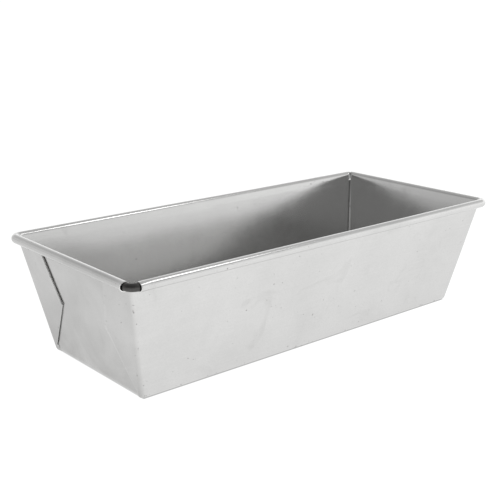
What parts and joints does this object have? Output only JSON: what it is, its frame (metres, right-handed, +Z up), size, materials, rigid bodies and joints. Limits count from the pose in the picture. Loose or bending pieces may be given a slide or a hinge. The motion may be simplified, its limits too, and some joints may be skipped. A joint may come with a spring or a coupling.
{
  "type": "loaf pan",
  "caption": "Narrow folded sheet-metal loaf pan with flared walls, corner gussets folded on the ends and a rolled rim over a wire.",
  "frame": {"origin": "under the middle of the floor, on the surface that the pan stands on", "axes": "+Z up, +X along the length, +Y across the width"},
  "size_m": [0.26, 0.116, 0.065],
  "materials": {
    "tinned_sheet": "satin tinned steel, faintly mottled, with fine rubbing marks",
    "bare_wire": "dull drawn steel wire"
  },
  "bodies": {
    "root": {"pan_sheet": "tinned_sheet", "rim_wire": "bare_wire"}
  },
  "joints": []
}
